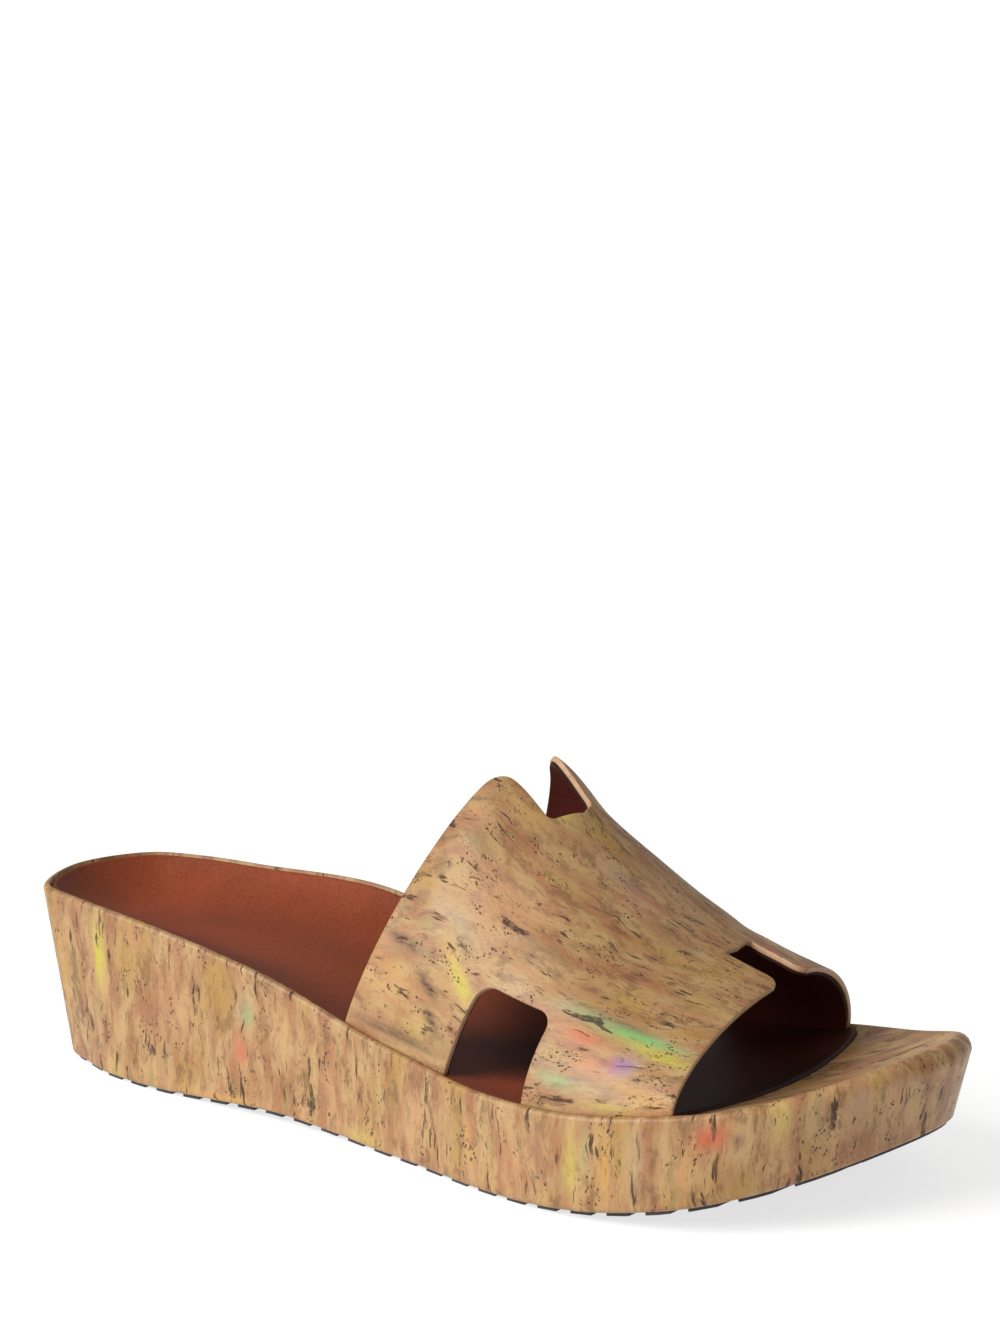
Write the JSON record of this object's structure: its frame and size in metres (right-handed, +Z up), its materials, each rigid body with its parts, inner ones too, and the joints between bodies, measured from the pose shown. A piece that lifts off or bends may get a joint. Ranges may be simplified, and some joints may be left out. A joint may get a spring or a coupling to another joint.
{
  "type": "slip-on sandal",
  "caption": "Women's slip-on sandal: a notched band of cork fabric with side windows over a cork-wrapped platform wedge.",
  "frame": {"origin": "on the floor, under the middle of the sole's length and width", "axes": "+X from heel to toe, +Y to the wearer's left, which is the big-toe side of this right shoe, +Z up"},
  "size_m": [0.2608, 0.0944, 0.089],
  "materials": {
    "outsole_rubber": "dark moulded rubber, matt",
    "wedge_cork": "printed cork fabric with dark flecks and small coloured streaks, satin",
    "insole_leather": "red-brown smooth leather",
    "upper_cork": "printed cork fabric on leather, satin"
  },
  "bodies": {
    "root": {"outsole": "outsole_rubber", "wedge": "wedge_cork", "insole": "insole_leather", "upper": "upper_cork"}
  },
  "joints": []
}
